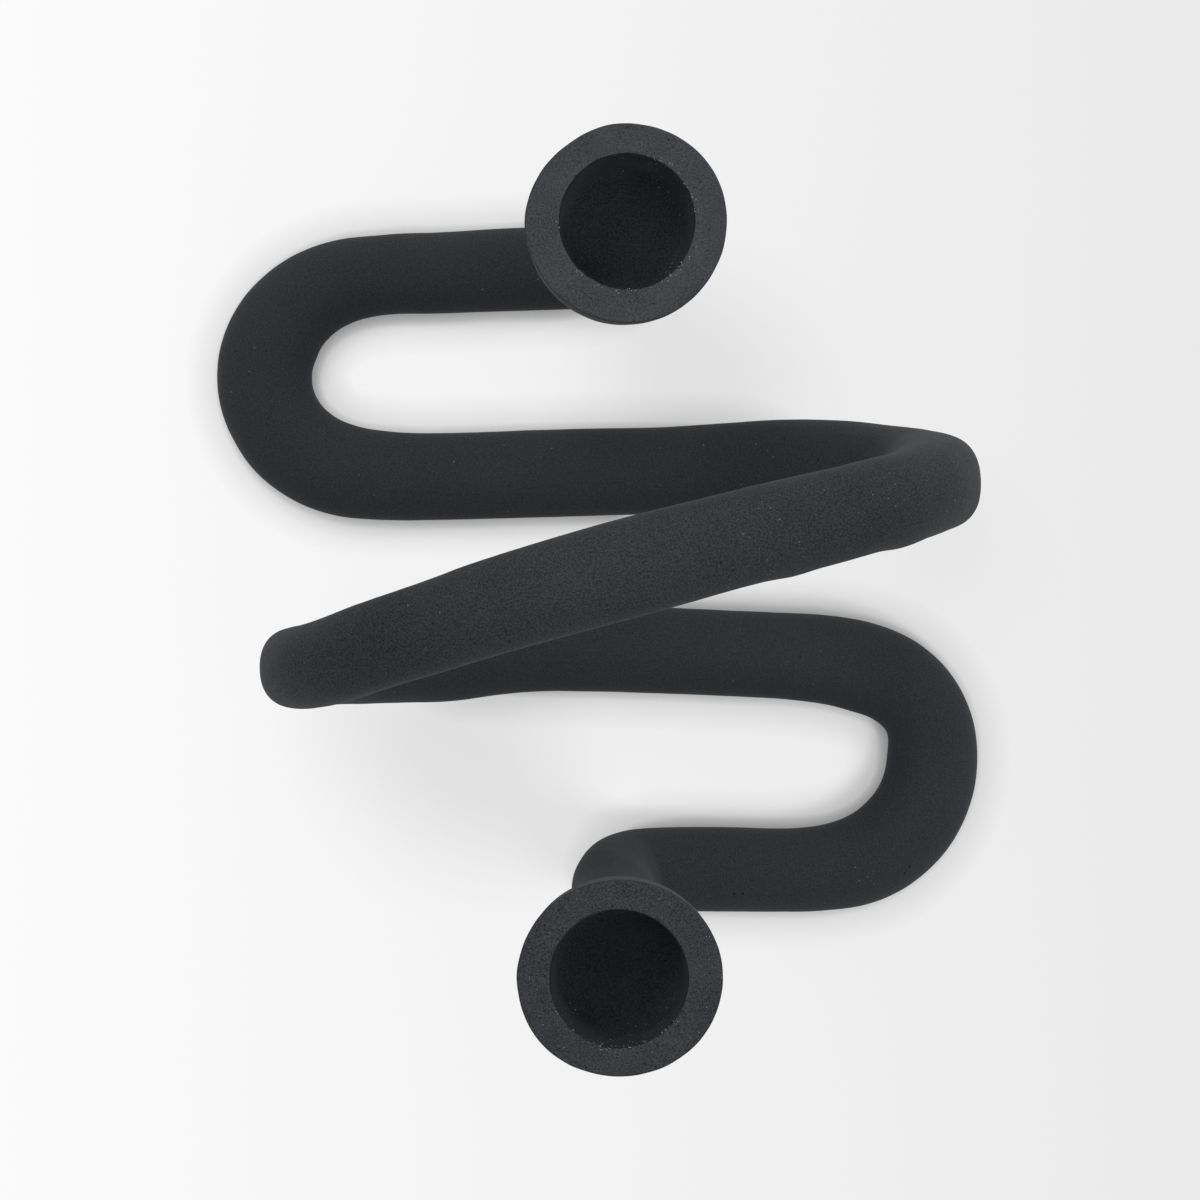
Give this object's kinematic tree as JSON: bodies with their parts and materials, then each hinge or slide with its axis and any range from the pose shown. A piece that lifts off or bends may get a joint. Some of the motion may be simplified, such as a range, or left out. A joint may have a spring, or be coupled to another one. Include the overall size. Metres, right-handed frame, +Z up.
{
  "type": "spiral candle holder",
  "caption": "Hand-built matte black stoneware coil that snakes over the table, stands up in a tall loop and ends in raised cups for taper candles.",
  "frame": {"origin": "on the table, at the middle of the outline seen from above", "axes": "+Z up, +Y from the front cup to the rear cup, +X to the right"},
  "size_m": [0.1416, 0.1606, 0.114],
  "materials": {
    "coil_stoneware": "unglazed black stoneware, matte, with a fine sandy grain",
    "cup_stoneware": "unglazed black stoneware, matte, with the rim sanded flat and slightly paler"
  },
  "bodies": {
    "root": {"rear_cup": "cup_stoneware", "front_cup": "cup_stoneware", "rear_riser": "coil_stoneware", "front_riser": "coil_stoneware", "rear_loop": "coil_stoneware", "front_loop": "coil_stoneware", "arch": "coil_stoneware"}
  },
  "joints": []
}
